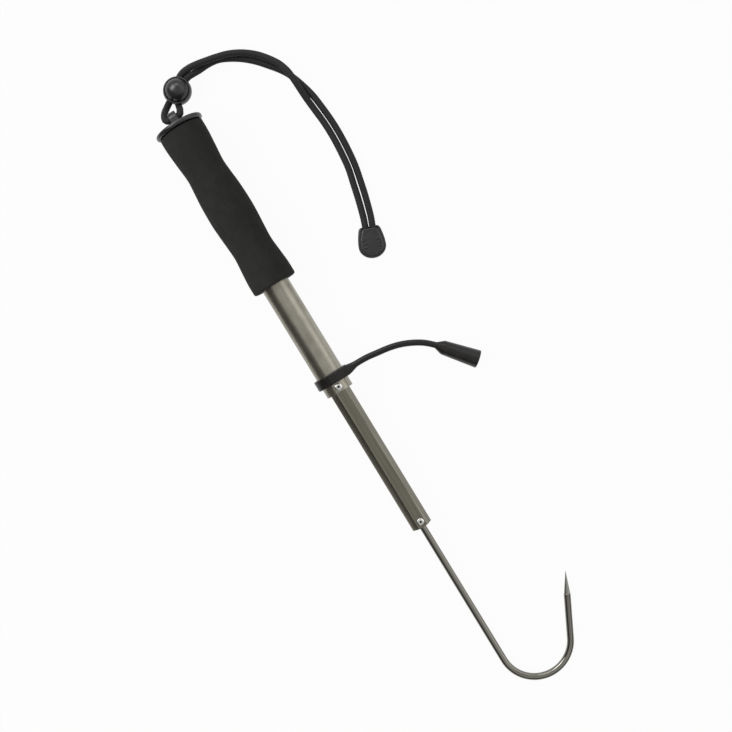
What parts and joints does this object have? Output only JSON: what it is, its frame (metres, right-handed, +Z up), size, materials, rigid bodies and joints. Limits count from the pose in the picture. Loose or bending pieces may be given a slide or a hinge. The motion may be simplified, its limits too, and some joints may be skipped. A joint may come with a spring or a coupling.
{
  "type": "fishing gaff",
  "caption": "Telescopic hand gaff with a foam grip, round and hexagonal tubes, a wide steel hook, a rubber tip guard on the tube and a doubled cord lanyard with a ball lock.",
  "frame": {"origin": "middle of the footprint's bounding box of the gaff without its lanyard, on the ground it lies on", "axes": "+X along the shaft from the butt to the hook, +Y towards the side the hook opens to, +Z up from the ground"},
  "size_m": [0.6198, 0.1448, 0.0485],
  "materials": {
    "anodised_tube": "satin",
    "anodised_hexagon": "satin",
    "rivet_metal": "satin",
    "hook_steel": "satin",
    "pin_steel": "satin",
    "foam": "matte",
    "guard_rubber": "satin",
    "moulded_black": "satin",
    "bush_plastic": "matte",
    "braided_cord": "matte"
  },
  "bodies": {
    "handle": {"handle_tube": "anodised_tube", "grip": "foam", "butt_cap": "moulded_black", "mouth_bush": "bush_plastic", "tube_rivet_front": "rivet_metal", "tube_rivet_back": "rivet_metal", "lanyard_loop": "braided_cord", "lanyard_strand_left": "braided_cord", "lanyard_strand_right": "braided_cord", "lanyard_knot": "braided_cord", "cord_end_base": "moulded_black", "cord_end_lid": "moulded_black"},
    "middle": {"hex_tube": "anodised_hexagon", "hex_stop": "bush_plastic", "hex_stop_pin": "pin_steel", "hook_bush": "bush_plastic", "hex_rivet_front": "rivet_metal", "hex_rivet_back": "rivet_metal"},
    "hook": {"hook": "hook_steel", "rod_stop": "bush_plastic", "rod_stop_pin": "pin_steel"},
    "guard": {"tip_guard": "guard_rubber"},
    "cord_lock": {"cord_lock_body": "moulded_black", "cord_lock_spring": "pin_steel"},
    "plunger": {"cord_lock_button": "moulded_black"}
  },
  "joints": [
    {"name": "middle_slide", "type": "slide", "parent": "handle", "child": "middle", "axis": [0.9991, 0, -0.0414], "range_m": [-0.128, 0]},
    {"name": "hook_slide", "type": "slide", "parent": "middle", "child": "hook", "axis": [0.9991, 0, -0.0414], "range_m": [-0.116, 0]},
    {"name": "guard_turn", "type": "hinge", "parent": "handle", "child": "guard", "pos_m": [-0.02847, -0.0505, 0.01622], "axis": [0.9991, 0, -0.0414], "continuous": true},
    {"name": "cord_lock_slide", "type": "slide", "parent": "handle", "child": "cord_lock", "axis": [-0.6198, 0.7848, 0], "range_m": [0, 0.004]},
    {"name": "plunger_press", "type": "slide", "parent": "cord_lock", "child": "plunger", "axis": [0, 0, -1], "range_m": [0, 0.0013], "stiffness_N_per_m": 1200, "springref_m": -0.001, "deforming": ["cord_lock_spring"]}
  ]
}
